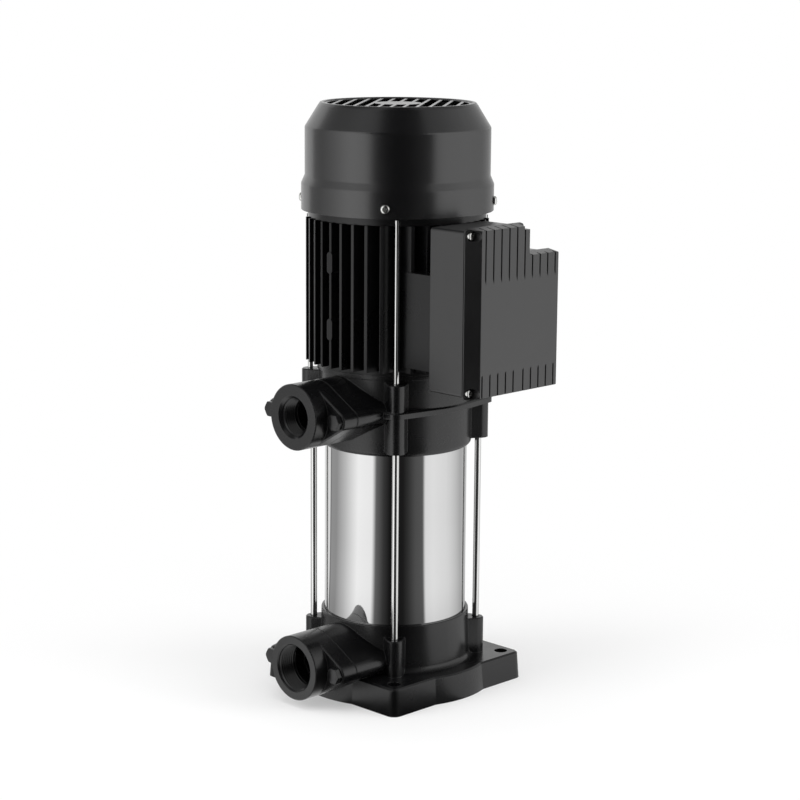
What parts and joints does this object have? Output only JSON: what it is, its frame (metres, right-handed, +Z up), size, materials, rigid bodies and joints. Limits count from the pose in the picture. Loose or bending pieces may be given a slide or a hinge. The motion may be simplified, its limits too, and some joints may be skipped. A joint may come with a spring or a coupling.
{
  "type": "vertical multistage pump",
  "caption": "Upright multistage water pump: square cast foot, polished sleeve with tie bolts, two threaded side ports, finned motor, fan cover and side terminal box.",
  "frame": {"origin": "middle of the foot's underside, on the shaft axis", "axes": "+Z up along the shaft; both ports face -Y; terminal box on the +X side"},
  "size_m": [0.2357, 0.217, 0.5323],
  "materials": {
    "black_cast_iron": "satin black coated casting",
    "black_motor_paint": "gloss black paint on cast aluminium",
    "fan_cover_black": "satin black pressed steel",
    "polished_steel": "mirror polished stainless steel",
    "rod_steel": "bright stainless bar",
    "zinc_steel": "bright zinc plate",
    "stage_steel": "pressed stainless sheet",
    "stage_plastic": "moulded glass-filled plastic",
    "shaft_steel": "ground stainless bar",
    "bearing_steel": "ground bearing steel",
    "carbon_bush": "carbon graphite",
    "seal_rubber": "moulded rubber",
    "lamination_steel": "stacked electrical steel",
    "copper_winding": "varnished copper wire",
    "box_plastic": "grained dark grey plastic",
    "fan_plastic": "moulded black plastic",
    "capacitor_can": "white plastic can",
    "plug_brass": "nickel-free machined brass"
  },
  "bodies": {
    "root": {"base_casting": "black_cast_iron", "delivery_casting": "black_cast_iron", "suction_flange": "black_cast_iron", "delivery_flange": "black_cast_iron", "suction_flange_bolts": "black_cast_iron", "delivery_flange_bolts": "black_cast_iron", "motor_frame": "black_motor_paint", "lower_end_shield": "black_motor_paint", "upper_end_shield": "black_motor_paint", "fan_cover": "fan_cover_black", "outer_sleeve": "polished_steel", "tie_bolts": "rod_steel", "motor_through_bolts": "rod_steel", "fan_cover_screws": "zinc_steel", "terminal_box_screws": "zinc_steel", "stage_casing_1": "stage_steel", "stage_casing_2": "stage_steel", "stage_casing_3": "stage_steel", "stage_casing_4": "stage_steel", "stage_casing_5": "stage_steel", "outlet_guide": "stage_steel", "diffuser_1": "stage_plastic", "diffuser_2": "stage_plastic", "diffuser_3": "stage_plastic", "diffuser_4": "stage_plastic", "diffuser_5": "stage_plastic", "lower_bearing_outer": "bearing_steel", "upper_bearing_outer": "bearing_steel", "lower_bush": "carbon_bush", "seal_seat": "carbon_bush", "suction_flange_seal": "seal_rubber", "delivery_flange_seal": "seal_rubber", "lower_sleeve_seal": "seal_rubber", "upper_sleeve_seal": "seal_rubber", "terminal_box_gasket": "seal_rubber", "stator_core": "lamination_steel", "stator_windings": "copper_winding", "terminal_box": "box_plastic", "terminal_box_lid": "box_plastic", "cable_gland": "fan_plastic", "gland_nut": "fan_plastic", "terminal_block": "fan_plastic", "capacitor": "capacitor_can", "drain_plug": "plug_brass", "vent_plug": "plug_brass"},
    "rotor": {"pump_shaft": "shaft_steel", "impeller_nut": "zinc_steel", "impeller_spacer": "shaft_steel", "seal_head": "seal_rubber", "water_slinger": "seal_rubber", "lower_bearing_inner": "bearing_steel", "upper_bearing_inner": "bearing_steel", "rotor_core": "lamination_steel", "cooling_fan": "fan_plastic", "impeller_1": "stage_plastic", "impeller_2": "stage_plastic", "impeller_3": "stage_plastic", "impeller_4": "stage_plastic", "impeller_5": "stage_plastic"}
  },
  "joints": [
    {"name": "rotor_spin", "type": "hinge", "parent": "root", "child": "rotor", "pos_m": [0, 0, 0.3], "axis": [0, 0, 1], "continuous": true}
  ]
}
